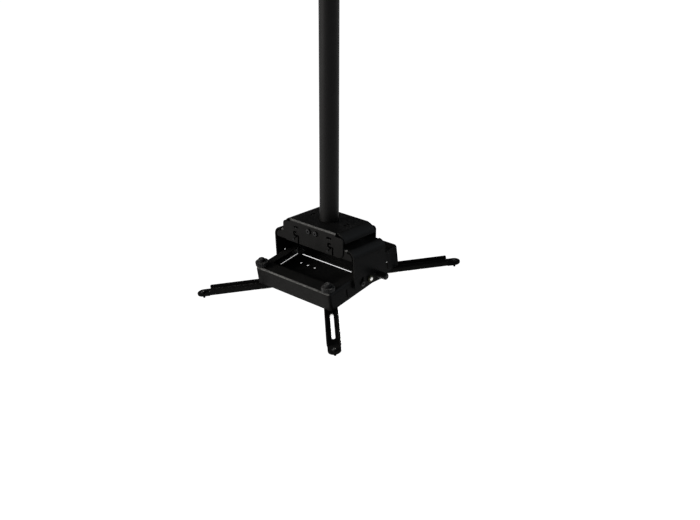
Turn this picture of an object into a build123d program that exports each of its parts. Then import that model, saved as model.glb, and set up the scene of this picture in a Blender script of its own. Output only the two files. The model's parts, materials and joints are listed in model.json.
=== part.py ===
from build123d import *
import os

# Ceiling mount: pole, folded brackets, tilting tray and four sliding arms.
# Millimetres. Origin at the middle of the ceiling face, +Z up, front is -Y, right is +X.

# Pole and ceiling end
DROP = 425.0            # ceiling face to the top face of the upper bracket
POLE_D = 32.0
POLE_WALL = 2.0
PLATE_SIDE = 150.0
PLATE_T = 4.0
PLATE_CORNER = 14.0
PLATE_PITCH = 110.0     # ceiling bolt pattern, square
PLATE_HOLE = 8.5
SOCKET_WALL = 4.0
SOCKET_LEN = 45.0
SOCKET_BOLT_D = 6.0
SOCKET_BOLT_UP = 25.0   # bolt height above the lower end of the socket

# Clearances
SLIP = 0.05             # radial running fit on the pole and on pins
LOOSE = 0.4             # radial clearance of pins that only pass through
PAST = 1.0              # how far cutters run past a face

# Fasteners
HEX_M6 = 10.0           # across flats
HEX_M5 = 8.0
HEAD_M6 = 4.0
NUT_M6 = 5.0
THIN_NUT_M6 = 3.2
NUT_M5 = 4.0
THREAD_OUT = 1.4        # thread showing past a nut
M5_D = 5.0
BUTTON_D = 9.4          # button head of an M5 screw
BUTTON_H = 2.7
BUTTON_R = 1.8
ALLEN = 3.0             # hexagon recess across flats
ALLEN_DEPTH = 1.5

# Folded sheet
T = 2.2
BEND_R = 4.0            # outside radius of the flange bends
BEND_RELIEF = 1.5       # notch at each end of a bend

# Upper bracket
U_HALF_X = 69.0
U_HALF_Y = 41.0
U_SHOULDER_R = 18.0
U_SIDE_DROP = 14.8      # side edge below the top face
U_WING_IN = 1.5         # flange ends inside the bracket's half width
U_BEND_IN = 18.0        # bend ends inside the bracket's half width
U_WING_TOP_R = 6.0
U_WING_LOW_R = 10.0
TOP_SLOT_X = 38.2
TOP_SLOT = (13.0, 3.5)
OVAL_X = 37.0
OVAL_DROP = 11.5
OVAL = (11.0, 3.6)

# Hook slots in the flanges, each drawn around its own middle
HOOK_X = 38.65
HOOK_DROP = 29.7
HOOK_EDGE = 10.0        # flange edge below the hook middle
HOOK_W = 3.2
HOOK_ENTRY = [(1.75, 8.7), (-3.2, 8.7), (-3.2, 3.1), (7.0, 3.1), (7.0, -HOOK_EDGE - HOOK_W)]
HOOK_SEAT = [(1.7, 3.1), (1.7, 0.0), (-4.75, -5.1)]
HOOK_NOTCH = (-5.7, 9.2, -1.1)  # left, right and lower edge of the notch behind a hook slot
RIVET_D = 6.0
RIVET_H = 1.5

# Pole collar inside the upper bracket
COLLAR_WALL = 6.0
COLLAR_LEN = 30.0
LUG_HALF_X = 15.0
LUG_TOP = 5.0           # below the top face
LUG_LOW = 19.0
LOCK_X = 7.8
LOCK_DROP = 11.6
LOCK_DEPTH = 12.0
STOP_WALL = 5.0
STOP_T = 5.0

# Tilt pivot and its locks
PIVOT_DROP = 79.0       # below the top face of the upper bracket
PIVOT_D = 6.0
SPACER_D = 16.0
LOCK_RADIUS = 18.0
LOCK_SLOT_W = 5.6
TILT_SPAN = 15.0        # degrees each way from level
TILT_NOW = 10.0         # nose-down angle as built
TILT_KNOB_D = 11.5
TILT_KNOB_LEN = 20.5
TILT_KNOB_FLUTES = 12
TILT_COLLAR_D = 11.0
TILT_COLLAR_T = 1.5
TILT_STUD_IN = 6.5      # stud length inside the knob

# Tray, in its own axes with the pivot at the origin
TRAY_HALF_X = 85.0
TRAY_DEPTH = 168.2
TRAY_BACK = 78.2        # back face behind the pivot
TRAY_TOP = 13.8
TRAY_SINK = 16.2        # lower edge below the pivot
TRAY_BACK_TOP = 22.3
TRAY_T = 2.0
TRAY_CORNER = 5.0
TRAY_BACK_CORNER = 4.0
EAR_FRONT = 36.0        # tall end of each side wall, from behind the pivot to the back
LIP_FRONT = 25.0
LIP_SIDE = 17.5
LIP_CORNER = 3.0
WALL_SLOT_Y = 51.0
WALL_SLOT = (15.0, 2.8)
WALL_SLOT_SINK = 3.2
FLOOR_SINK = 8.9        # floor face below the pivot
FLOOR_NOTCH = (17.0, 16.0)
CROSS_SLOT_Y = 10.2
CROSS_SLOT_W = 3.3
EDGE_GAP = 4.0
EDGE_GAP_LEN = 60.0
WALL_GAP = 2.1          # height of the gap in the left wall beside the edge gap
WALL_GAP_SINK = 9.8     # its middle below the pivot
SLOT_WEB = 3.0          # floor left between the cross slot and the edge gaps
FLOOR_HOLES_X = 39.8    # middle hole, left of the tray's middle
FLOOR_HOLES_Y = 12.8    # ahead of the pivot
FLOOR_HOLE_PITCH = 16.2
FLOOR_HOLE_D = 4.6

# Lower bracket
L_DROP = 23.0           # its top face below the top face of the upper bracket
L_SHOULDER_R = 14.0
L_SIDE_GAP = 2.8        # tray wall to side plate
L_WING_IN = 5.0
L_BEND_IN = 15.0
L_WING_TOP_R = 8.0
L_WING_LOW_R = 2.5
L_TAPER = 2.8           # how far each side plate edge leans in at its lower end
L_PLATE_CORNER = 6.0
L_PLATE_EDGE = 10.5     # side plate below the pivot
L_WINDOW_GAP = 7.0      # around the collar

# Arms, radiating from the four corner clamps, lengths from the clamp
CLAMP_IN_X = 9.34       # inside the tray's side
CLAMP_IN_Y = 8.44       # inside the tray's front and back
ARM_W = 22.4
ARM_T = 2.0
ARM_H = 8.7
ARM_FOLD_R = 2.6
ARM_FLANGE_R = 2.0
ARM_TOP_GAP = 0.5       # flange tops below the tray's lower edge
ARM_IN = 34.0
ARM_FLANGE_OUT = 95.0
ARM_OUT = 117.0
ARM_TONGUE_W = 21.0
ARM_SLOT_IN = 27.0
ARM_SLOT_OUT = 78.0
ARM_SLOT_W = 5.6
STANDOFF_D = 8.6
SHOE_L = 16.0
SHOE_W = 14.0
SHOE_T = 2.5
SHOE_R = 2.0
SHOE_SIDE_GAP = 0.1
RAIL_SINK = 0.4         # rail top below the face of the arm's web
STUD_OUT = 2.0          # clamp thread below the shoe

# Tip screws
TIP_IN = 10.0           # inside the arm's end
TIP_D = 4.0
TIP_NECK_D = 3.3
TIP_NECK_OUT = 0.3      # neck below the arm
TIP_OUT = 8.0           # screw end below the arm
TIP_HOLE = 4.5
TIP_HEAD_D = 8.0
TIP_HEAD_H = 2.6
TIP_HEAD_R = 1.4
CROSS_L = 4.0
CROSS_W = 1.0
CROSS_DEPTH = 1.4

# Thumb knobs
KNOB_D = 22.0
KNOB_HUB_D = 13.0
KNOB_HUB_H = 3.0
KNOB_SKIRT_H = 6.2
KNOB_CAP_D = 11.5
KNOB_CAP_H = 6.0
KNOB_CAP_R = 2.6
KNOB_STUD_IN = 9.0      # stud length inside the knob
KNOB_FLUTES = 20
FLUTE_D = 1.8
FLUTE_OUT = 0.35        # flute middle outside the rim

Z_TOP = -DROP
Z_LOWER = Z_TOP - L_DROP
Z_PIVOT = Z_TOP - PIVOT_DROP
U_FLANGE_LOW = Z_TOP - HOOK_DROP - HOOK_EDGE
L_HALF_X = TRAY_HALF_X + L_SIDE_GAP + T
L_HALF_Y = U_HALF_Y - T
L_SIDE_DROP = PIVOT_DROP - L_DROP + L_PLATE_EDGE
COLLAR_D = POLE_D + 2 * COLLAR_WALL
TRAY_LOW = -TRAY_SINK
TRAY_FRONT = TRAY_DEPTH - TRAY_BACK
TRAY_MID_Y = (TRAY_BACK - TRAY_FRONT) / 2
FLOOR_LOW = -FLOOR_SINK - TRAY_T
ARM_TOP = TRAY_LOW - ARM_TOP_GAP
ARM_LOW = ARM_TOP - ARM_H
WEB_TOP = ARM_LOW + ARM_T
TRAY_PLACE = Pos(0, 0, Z_PIVOT) * Rot(TILT_NOW, 0, 0)


def block(x0, x1, y0, y1, z0, z1):
    return Pos((x0 + x1) / 2, (y0 + y1) / 2, (z0 + z1) / 2) * Box(x1 - x0, y1 - y0, z1 - z0)


def rod_x(d, x0, x1, y, z):
    return Pos((x0 + x1) / 2, y, z) * Rot(0, 90, 0) * Cylinder(d / 2, abs(x1 - x0))


def rod_y(d, x, y0, y1, z):
    return Pos(x, (y0 + y1) / 2, z) * Rot(90, 0, 0) * Cylinder(d / 2, abs(y1 - y0))


def rod_z(d, x, y, z0, z1):
    return Pos(x, y, (z0 + z1) / 2) * Cylinder(d / 2, abs(z1 - z0))


def hex_x(flats, x0, x1, y, z):
    prism = extrude(RegularPolygon(flats / 2, 6, major_radius=False), abs(x1 - x0))
    return Pos(min(x0, x1), y, z) * Rot(0, 90, 0) * prism


def button_screw(d, shank):
    """Button head screw along Z: seat at the origin, head above, shank below."""
    head = rod_z(BUTTON_D, 0, 0, 0, BUTTON_H)
    head = fillet(head.edges().group_by(Axis.Z)[-1], BUTTON_R)
    recess = extrude(RegularPolygon(ALLEN / 2, 6, major_radius=False), BUTTON_H)
    return head + rod_z(d, 0, 0, -shank, BUTTON_H / 2) - Pos(0, 0, BUTTON_H - ALLEN_DEPTH) * recess


def stroke(path, width):
    """A slot of even width along a line of points, as a flat sketch."""
    shape = Pos(*path[0]) * Circle(width / 2)
    for a, b in zip(path[:-1], path[1:]):
        shape = shape + SlotCenterPoint(((a[0] + b[0]) / 2, (a[1] + b[1]) / 2), b, width)
    return shape


def cut_y(sketch, half_y):
    """A sketch drawn in X and Z, as a cutter through both flanges."""
    return Pos(0, half_y + PAST, 0) * extrude(Plane.XZ * sketch, 2 * (half_y + PAST))


def cut_x(sketch, half_x):
    """A sketch drawn in Y and Z, as a cutter through both sides."""
    return Pos(-half_x - PAST, 0, 0) * extrude(Plane.YZ * sketch, 2 * (half_x + PAST))


def flange_bend(side, half_y, z_top, length):
    """Quarter-round bend between the top plate and one flange."""
    y_mid = side * (half_y - BEND_R)
    z_mid = z_top - BEND_R
    ring = rod_x(2 * BEND_R, -length, length, y_mid, z_mid)
    ring = ring - rod_x(2 * (BEND_R - T), -length, length, y_mid, z_mid)
    y_out = side * half_y
    return ring & block(-length, length, min(y_mid, y_out), max(y_mid, y_out), z_mid, z_top)


def folded_hood(half_x, half_y, z_top, shoulder_r, side_drop, side_y, flange_z, wing, bend, wing_r):
    """Inverted sheet hood: rounded shoulders left and right, bent flanges front and back."""
    z_low = z_top - shoulder_r - side_drop
    outer = block(-half_x, half_x, -side_y, side_y, z_low, z_top)
    outer = fillet(outer.edges().filter_by(Axis.Y).group_by(Axis.Z)[-1], shoulder_r)
    inner = block(-half_x + T, half_x - T, -side_y, side_y, z_low, z_top - T)
    inner = fillet(inner.edges().filter_by(Axis.Y).group_by(Axis.Z)[-1], shoulder_r - T)
    hood = outer - inner - block(-half_x, half_x, -side_y, side_y, z_low, z_top - side_drop)
    relief = bend + BEND_RELIEF
    y_bend = half_y - BEND_R
    wing_top = z_top - BEND_R - BEND_RELIEF
    for side in (-1, 1):
        if side_y > y_bend:
            y0, y1 = sorted((side * y_bend, side * (side_y + PAST)))
            hood = hood - block(-relief, relief, y0, y1, z_top - T - PAST, z_top + PAST)
        outline = Pos(0, (wing_top + flange_z) / 2) * Rectangle(2 * wing, wing_top - flange_z)
        outline = fillet(outline.vertices().group_by(Axis.Y)[-1], wing_r[0])
        outline = fillet(outline.vertices().group_by(Axis.Y)[0], wing_r[1])
        neck = Pos(0, z_top - 2 * BEND_R) * Rectangle(2 * bend, 2 * BEND_R)
        y_in = side * (half_y - T)
        y_far = max(side * half_y, y_in)
        hood = hood + Pos(0, y_far, 0) * extrude(Plane.XZ * (outline + neck), T)
        hood = hood + flange_bend(side, half_y, z_top, bend)
    return hood


def save(shape, name):
    export_step(shape, "parts/" + name + ".step")


def save_tray(shape, name):
    save(TRAY_PLACE * shape, name)


os.makedirs("parts", exist_ok=True)

# Ceiling plate, socket and pole
plate = Pos(0, 0, -PLATE_T) * extrude(RectangleRounded(PLATE_SIDE, PLATE_SIDE, PLATE_CORNER), PLATE_T)
for hole_place in GridLocations(PLATE_PITCH, PLATE_PITCH, 2, 2):
    plate = plate - hole_place * Cylinder(PLATE_HOLE / 2, 4 * PLATE_T)
save(plate, "ceiling_plate")

socket_d = POLE_D + 2 * SOCKET_WALL
socket_low = -PLATE_T - SOCKET_LEN
bolt_z = socket_low + SOCKET_BOLT_UP
socket = rod_z(socket_d, 0, 0, socket_low, -PLATE_T)
socket = chamfer(socket.edges().group_by(Axis.Z)[0], SOCKET_WALL / 4)
socket = socket - rod_z(POLE_D + 2 * SLIP, 0, 0, socket_low, -PLATE_T)
socket = socket - rod_x(SOCKET_BOLT_D, -socket_d, socket_d, 0, bolt_z)
save(socket, "ceiling_socket")

seat_x = socket_d / 2
bolt_end = -seat_x - NUT_M6 - THREAD_OUT
cross_bolt = rod_x(SOCKET_BOLT_D - 2 * SLIP, bolt_end, seat_x, 0, bolt_z)
cross_bolt = cross_bolt + hex_x(HEX_M6, seat_x, seat_x + HEAD_M6, 0, bolt_z)
save(cross_bolt, "socket_bolt")
cross_nut = hex_x(HEX_M6, -seat_x - NUT_M6, -seat_x, 0, bolt_z)
save(cross_nut - rod_x(SOCKET_BOLT_D, bolt_end, 0, 0, bolt_z), "socket_nut")

collar_low = Z_TOP - T - COLLAR_LEN
pole_low = collar_low - STOP_T
pole = rod_z(POLE_D, 0, 0, pole_low, -PLATE_T) - rod_z(POLE_D - 2 * POLE_WALL, 0, 0, pole_low, -PLATE_T)
pole = pole - rod_x(SOCKET_BOLT_D, -POLE_D, POLE_D, 0, bolt_z)
save(pole, "drop_pole")

# Ring fixed to the pole's lower end, on which the collar turns
stop_ring = rod_z(POLE_D + 2 * STOP_WALL, 0, 0, pole_low, collar_low)
stop_ring = chamfer(stop_ring.edges().group_by(Axis.Z)[0], STOP_WALL / 6)
save(stop_ring - rod_z(POLE_D, 0, 0, pole_low, collar_low), "pole_stop_ring")

# Upper bracket
upper = folded_hood(U_HALF_X, U_HALF_Y, Z_TOP, U_SHOULDER_R, U_SIDE_DROP, U_HALF_Y - BEND_R,
                    U_FLANGE_LOW, U_HALF_X - U_WING_IN, U_HALF_X - U_BEND_IN, (U_WING_TOP_R, U_WING_LOW_R))
upper = upper - rod_z(POLE_D + 2 * LOOSE, 0, 0, Z_TOP - 2 * T, Z_TOP + T)
for side in (-1, 1):
    slot = extrude(Rot(0, 0, 90) * SlotOverall(*TOP_SLOT), 4 * T)
    upper = upper - Pos(side * TOP_SLOT_X, 0, Z_TOP - 2 * T) * slot
    oval = Pos(side * OVAL_X, Z_TOP - OVAL_DROP) * SlotOverall(*OVAL)
    hook = Pos(side * HOOK_X, Z_TOP - HOOK_DROP) * (stroke(HOOK_ENTRY, HOOK_W) + stroke(HOOK_SEAT, HOOK_W))
    upper = upper - cut_y(oval, U_HALF_Y) - cut_y(hook, U_HALF_Y)
    lock_hole = rod_y(M5_D + 2 * LOOSE, side * LOCK_X, -U_HALF_Y - PAST, -U_HALF_Y + 2 * T, Z_TOP - LOCK_DROP)
    upper = upper - lock_hole
save(upper, "upper_bracket")

# Collar with a lug that the two front screws hold
lug_y = -U_HALF_Y + T
collar = rod_z(COLLAR_D, 0, 0, collar_low, Z_TOP - T)
collar = collar + block(-LUG_HALF_X, LUG_HALF_X, lug_y, 0, Z_TOP - LUG_LOW, Z_TOP - LUG_TOP)
collar = collar - rod_z(POLE_D + 2 * SLIP, 0, 0, collar_low - PAST, Z_TOP)
lock_screws = []
for side in (-1, 1):
    collar = collar - rod_y(M5_D, side * LOCK_X, lug_y - PAST, lug_y + LOCK_DEPTH, Z_TOP - LOCK_DROP)
    screw = Rot(90, 0, 0) * button_screw(M5_D - 2 * SLIP, T + LOCK_DEPTH - PAST)
    lock_screws.append(Pos(side * LOCK_X, -U_HALF_Y, Z_TOP - LOCK_DROP) * screw)
save(collar, "pole_collar")
save(Compound(lock_screws), "collar_screws")

# Lower bracket
z_plate_low = Z_LOWER - L_SIDE_DROP
lower = folded_hood(L_HALF_X, L_HALF_Y, Z_LOWER, L_SHOULDER_R, L_SIDE_DROP, L_HALF_Y,
                    U_FLANGE_LOW, L_HALF_X - L_WING_IN, L_HALF_X - L_BEND_IN, (L_WING_TOP_R, L_WING_LOW_R))
shoulder_z = Z_LOWER - L_SHOULDER_R
plate_y = L_HALF_Y - L_TAPER
plate_points = [(-L_HALF_Y, Z_LOWER + PAST), (L_HALF_Y, Z_LOWER + PAST), (L_HALF_Y, shoulder_z),
                (plate_y, z_plate_low), (-plate_y, z_plate_low), (-L_HALF_Y, shoulder_z)]
plate_outline = make_face(Polyline(*plate_points, close=True))
plate_outline = fillet(plate_outline.vertices().group_by(Axis.Y)[0], L_PLATE_CORNER)
lower = lower & cut_x(plate_outline, L_HALF_X)
lower = lower - rod_z(COLLAR_D + 2 * L_WINDOW_GAP, 0, 0, Z_LOWER - 2 * T, Z_LOWER + T)
lower = lower - rod_x(PIVOT_D + 2 * SLIP, -L_HALF_X - PAST, L_HALF_X + PAST, 0, Z_PIVOT)
for start in (0, 180):
    arc = CenterArc((0, Z_PIVOT), LOCK_RADIUS, start - TILT_SPAN - 1, 2 * TILT_SPAN + 2)
    lower = lower - cut_x(SlotArc(arc, LOCK_SLOT_W), L_HALF_X)

# Hook studs riveted in the lower bracket, seated in the hook slots
stud_d = HOOK_W - 2 * SLIP
stud_z = Z_TOP - HOOK_DROP + HOOK_SEAT[-1][1]
notch_low = Z_TOP - HOOK_DROP + HOOK_NOTCH[2]
studs = []
for side in (-1, 1):
    x_hook = side * HOOK_X
    x_stud = x_hook + HOOK_SEAT[-1][0]
    lower = lower - rod_y(stud_d, x_stud, -U_HALF_Y, U_HALF_Y, stud_z)
    for face in (-1, 1):
        y0, y1 = sorted((face * (L_HALF_Y - BEND_R), face * U_HALF_Y))
        notch = block(x_hook + HOOK_NOTCH[0], x_hook + HOOK_NOTCH[1], y0, y1, notch_low, Z_LOWER + PAST)
        lower = lower - notch
        inside = face * (L_HALF_Y - T)
        pin = rod_y(stud_d, x_stud, inside, face * (U_HALF_Y + LOOSE), stud_z)
        studs.append(pin + rod_y(RIVET_D, x_stud, inside - face * RIVET_H, inside, stud_z))
save(lower, "lower_bracket")
save(Compound(studs), "hook_studs")

# Tray frame
tray_w = 2 * TRAY_HALF_X
base = Pos(0, TRAY_MID_Y) * Rectangle(tray_w, TRAY_DEPTH)
base = fillet(base.vertices().group_by(Axis.Y)[0], TRAY_CORNER)
tray = Pos(0, 0, TRAY_LOW) * extrude(base, TRAY_TOP - TRAY_LOW)
rim = tray.edges().group_by(Axis.Z)[-1].sort_by(Axis.Y)[:-1]
tray = fillet(rim, BEND_R)
hollow = Pos(0, TRAY_MID_Y) * Rectangle(tray_w - 2 * TRAY_T, TRAY_DEPTH - 2 * TRAY_T)
hollow = fillet(hollow.vertices().group_by(Axis.Y)[0], TRAY_CORNER - TRAY_T)
cavity = Pos(0, 0, TRAY_LOW) * extrude(hollow, TRAY_TOP - TRAY_T - TRAY_LOW)
cavity = fillet(cavity.edges().group_by(Axis.Z)[-1].sort_by(Axis.Y)[:-1], BEND_R - TRAY_T)
tray = tray - cavity
win_y0 = LIP_FRONT - TRAY_FRONT
win_y1 = TRAY_BACK - TRAY_T
window = Pos(0, (win_y0 + win_y1) / 2) * Rectangle(tray_w - 2 * LIP_SIDE, win_y1 - win_y0)
window = fillet(window.vertices().group_by(Axis.Y)[0], LIP_CORNER)
tray = tray - Pos(0, 0, TRAY_TOP - 2 * TRAY_T) * extrude(window, 4 * TRAY_T)
back = Pos(0, (TRAY_BACK_TOP + TRAY_LOW) / 2) * Rectangle(tray_w, TRAY_BACK_TOP - TRAY_LOW)
back = fillet(back.vertices().group_by(Axis.Y)[-1], TRAY_BACK_CORNER)
tray = tray + Pos(0, TRAY_BACK, 0) * extrude(Plane.XZ * back, TRAY_T)
ear = Rectangle(TRAY_BACK - EAR_FRONT, TRAY_BACK_TOP - TRAY_LOW)
ear = fillet(ear.vertices().group_by(Axis.Y)[-1], TRAY_BACK_CORNER)
ear = Pos((EAR_FRONT + TRAY_BACK) / 2, (TRAY_BACK_TOP + TRAY_LOW) / 2) * ear
for x_ear in (-TRAY_HALF_X, TRAY_HALF_X - TRAY_T):
    tray = tray + Pos(x_ear, 0, 0) * extrude(Plane.YZ * ear, TRAY_T)
for y_slot in (-WALL_SLOT_Y, WALL_SLOT_Y):
    tray = tray - cut_x(Pos(y_slot, -WALL_SLOT_SINK) * Rot(0, 0, 90) * SlotOverall(*WALL_SLOT), TRAY_HALF_X)
wall_gap = cut_x(Pos(TRAY_MID_Y, -WALL_GAP_SINK) * SlotOverall(EDGE_GAP_LEN, WALL_GAP), TRAY_HALF_X)
tray = tray - Pos(-TRAY_HALF_X, 0, 0) * wall_gap
tray = tray - rod_x(PIVOT_D + 2 * SLIP, -TRAY_HALF_X - PAST, TRAY_HALF_X + PAST, 0, 0)
for y_lock in (-LOCK_RADIUS, LOCK_RADIUS):
    tray = tray - rod_x(M5_D + 2 * SLIP, -TRAY_HALF_X - PAST, TRAY_HALF_X + PAST, y_lock, 0)
clamp_x = TRAY_HALF_X - CLAMP_IN_X
clamp_front = CLAMP_IN_Y - TRAY_FRONT
clamp_back = TRAY_BACK - CLAMP_IN_Y
corners = {"fl": (-clamp_x, clamp_front, 225), "fr": (clamp_x, clamp_front, 315),
           "bl": (-clamp_x, clamp_back, 135), "br": (clamp_x, clamp_back, 45)}
for x_c, y_c, turn in corners.values():
    tray = tray - rod_z(M5_D + 2 * LOOSE, x_c, y_c, TRAY_TOP - 2 * TRAY_T, TRAY_TOP + PAST)
save_tray(tray, "tray_frame")

# Tray floor, a flat plate between the walls
floor_w = tray_w - 2 * TRAY_T
floor_plate = Pos(0, TRAY_MID_Y) * Rectangle(floor_w, TRAY_DEPTH - 2 * TRAY_T)
for x_c, y_c, turn in corners.values():
    x_edge = floor_w / 2 if x_c > 0 else -floor_w / 2
    y_edge = TRAY_BACK - TRAY_T if y_c > TRAY_MID_Y else TRAY_T - TRAY_FRONT
    floor_plate = floor_plate - Pos(x_edge, y_edge) * Rectangle(2 * FLOOR_NOTCH[0], 2 * FLOOR_NOTCH[1])
for side in (-1, 1):
    floor_plate = floor_plate - Pos(side * floor_w / 2, TRAY_MID_Y) * Rectangle(2 * EDGE_GAP, EDGE_GAP_LEN)
cross_slot = SlotOverall(floor_w - 2 * (EDGE_GAP + SLOT_WEB), CROSS_SLOT_W)
floor_plate = floor_plate - Pos(0, CROSS_SLOT_Y) * cross_slot
for step in (-1, 0, 1):
    hole_x = step * FLOOR_HOLE_PITCH - FLOOR_HOLES_X
    floor_plate = floor_plate - Pos(hole_x, -FLOOR_HOLES_Y) * Circle(FLOOR_HOLE_D / 2)
save_tray(Pos(0, 0, FLOOR_LOW) * extrude(floor_plate, TRAY_T), "tray_floor")

# Standoff tubes under the four lip corners
tubes = []
for x_c, y_c, turn in corners.values():
    tube = rod_z(STANDOFF_D, x_c, y_c, WEB_TOP, TRAY_TOP - TRAY_T)
    tubes.append(tube - rod_z(M5_D + 2 * LOOSE, x_c, y_c, WEB_TOP - PAST, TRAY_TOP))
save_tray(Compound(tubes), "corner_standoffs")

# Tilt pivot bolts, spacers and nuts, and the lock screws with their weld nuts
inner_x = TRAY_HALF_X - TRAY_T
pivot_end = L_HALF_X + THIN_NUT_M6 + THREAD_OUT
lock_in = inner_x - NUT_M5 - LOOSE
bolts = []
nuts = []
spacers = []
lock_nuts = []
for side in (-1, 1):
    bolt = hex_x(HEX_M6, side * (inner_x - HEAD_M6), side * inner_x, 0, 0)
    bolts.append(bolt + rod_x(PIVOT_D, side * (inner_x - HEAD_M6 / 2), side * pivot_end, 0, 0))
    nut = hex_x(HEX_M6, side * L_HALF_X, side * (L_HALF_X + THIN_NUT_M6), 0, 0)
    nuts.append(nut - rod_x(PIVOT_D, -pivot_end, pivot_end, 0, 0))
    spacer = rod_x(SPACER_D, side * TRAY_HALF_X, side * (L_HALF_X - T), 0, 0)
    spacers.append(spacer - rod_x(PIVOT_D + 2 * SLIP, -L_HALF_X, L_HALF_X, 0, 0))
    for y_lock in (-LOCK_RADIUS, LOCK_RADIUS):
        nut = hex_x(HEX_M5, side * (inner_x - NUT_M5), side * inner_x, y_lock, 0)
        lock_nuts.append(nut - rod_x(M5_D + 2 * SLIP, -L_HALF_X, L_HALF_X, y_lock, 0))
save_tray(Compound(bolts), "pivot_bolts")
save_tray(Compound(nuts), "pivot_nuts")
save_tray(Compound(spacers), "pivot_spacers")
save_tray(Compound(lock_nuts), "lock_weld_nuts")

side_screws = []
for side, y_lock in ((1, -LOCK_RADIUS), (-1, -LOCK_RADIUS), (-1, LOCK_RADIUS)):
    screw = Rot(0, side * 90, 0) * button_screw(M5_D, L_HALF_X - lock_in)
    side_screws.append(Pos(side * L_HALF_X, y_lock, 0) * screw)
save_tray(Compound(side_screws), "tilt_lock_screws")

# Tilt lock knob on the right, behind the pivot
grip_x = L_HALF_X + TILT_COLLAR_T
stud_end = grip_x + TILT_STUD_IN
stud = rod_x(M5_D, lock_in, stud_end, LOCK_RADIUS, 0)
save_tray(stud + rod_x(TILT_COLLAR_D, L_HALF_X, grip_x, LOCK_RADIUS, 0), "tilt_stud")
flute_x = grip_x + TILT_KNOB_LEN / 4
grip = rod_x(TILT_KNOB_D, grip_x, grip_x + TILT_KNOB_LEN, LOCK_RADIUS, 0)
grip = fillet(grip.faces().sort_by(Axis.X)[-1].edges(), TILT_KNOB_D / 4)
grip = grip - rod_x(M5_D, grip_x, stud_end, LOCK_RADIUS, 0)
for flute in PolarLocations(TILT_KNOB_D / 2 + FLUTE_OUT, TILT_KNOB_FLUTES):
    groove = Pos(0, 0, TILT_KNOB_LEN / 2) * Cylinder(FLUTE_D / 2, TILT_KNOB_LEN)
    grip = grip - Pos(flute_x, LOCK_RADIUS, 0) * Rot(0, 90, 0) * flute * groove
save_tray(grip, "tilt_knob")

# Thumb knobs on the front corners, button head screws on the back corners
stud_low = ARM_LOW - SHOE_T - STUD_OUT
skirt = Circle(KNOB_D / 2)
for flute in PolarLocations(KNOB_D / 2 + FLUTE_OUT, KNOB_FLUTES):
    skirt = skirt - flute * Circle(FLUTE_D / 2)
skirt_low = TRAY_TOP + KNOB_HUB_H
skirt_top = skirt_low + KNOB_SKIRT_H
knob = Pos(0, 0, skirt_low) * extrude(skirt, KNOB_SKIRT_H)
knob = knob + rod_z(KNOB_HUB_D, 0, 0, TRAY_TOP, skirt_low)
cap = rod_z(KNOB_CAP_D, 0, 0, skirt_top, skirt_top + KNOB_CAP_H)
cap = fillet(cap.edges().group_by(Axis.Z)[-1], KNOB_CAP_R)
stud_top = TRAY_TOP + KNOB_STUD_IN
knob = knob + cap - rod_z(M5_D, 0, 0, TRAY_TOP, stud_top)
for name in ("fl", "fr"):
    x_c, y_c, turn = corners[name]
    save_tray(rod_z(M5_D, x_c, y_c, stud_low, stud_top), "thumb_stud_" + name)
    save_tray(Pos(x_c, y_c, 0) * knob, "thumb_knob_" + name)
back_screws = []
for name in ("bl", "br"):
    x_c, y_c, turn = corners[name]
    back_screws.append(Pos(x_c, y_c, TRAY_TOP) * button_screw(M5_D, TRAY_TOP - stud_low))
save_tray(Compound(back_screws), "back_clamp_screws")

# Arms, drawn along +X from their clamp, with their shoes and tip screws
channel = block(-ARM_IN, ARM_FLANGE_OUT, -ARM_W / 2, ARM_W / 2, ARM_LOW, ARM_TOP)
channel = fillet(channel.edges().filter_by(Axis.X).group_by(Axis.Z)[0], ARM_FOLD_R)
inside_w = ARM_W - 2 * ARM_T
trough = block(-ARM_IN - PAST, ARM_FLANGE_OUT + PAST, -inside_w / 2, inside_w / 2, WEB_TOP, ARM_TOP + PAST)
trough = fillet(trough.edges().filter_by(Axis.X).group_by(Axis.Z)[0], ARM_FOLD_R - ARM_T)
channel = channel - trough
flange_ends = channel.edges().filter_by(Axis.Y).group_by(Axis.Z)[-1]
channel = fillet(flange_ends, ARM_FLANGE_R)
tongue_len = ARM_OUT - ARM_FLANGE_OUT + ARM_TONGUE_W
tongue = Pos(ARM_OUT - tongue_len / 2, 0, ARM_LOW) * extrude(SlotOverall(tongue_len, ARM_TONGUE_W), ARM_T)
arm = channel + (tongue - block(-ARM_IN, ARM_FLANGE_OUT, -ARM_W, ARM_W, ARM_LOW, ARM_TOP))
arm_slot = extrude(SlotOverall(ARM_SLOT_IN + ARM_SLOT_OUT, ARM_SLOT_W), 2 * (ARM_T + PAST))
arm = arm - Pos((ARM_SLOT_OUT - ARM_SLOT_IN) / 2, 0, ARM_LOW - PAST) * arm_slot
tip_x = ARM_OUT - TIP_IN
arm = arm - rod_z(TIP_HOLE, tip_x, 0, ARM_LOW - PAST, WEB_TOP + PAST)

rail_w = ARM_SLOT_W - 2 * SHOE_SIDE_GAP
shoe = block(-SHOE_L / 2, SHOE_L / 2, -SHOE_W / 2, SHOE_W / 2, ARM_LOW - SHOE_T, ARM_LOW)
shoe = fillet(shoe.edges().filter_by(Axis.Z), SHOE_R)
rail = Pos(0, 0, ARM_LOW) * extrude(SlotOverall(SHOE_L, rail_w), ARM_T - RAIL_SINK)
shoe = shoe + rail - rod_z(M5_D + 2 * SLIP, 0, 0, ARM_LOW - 2 * SHOE_T, WEB_TOP)

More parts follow.
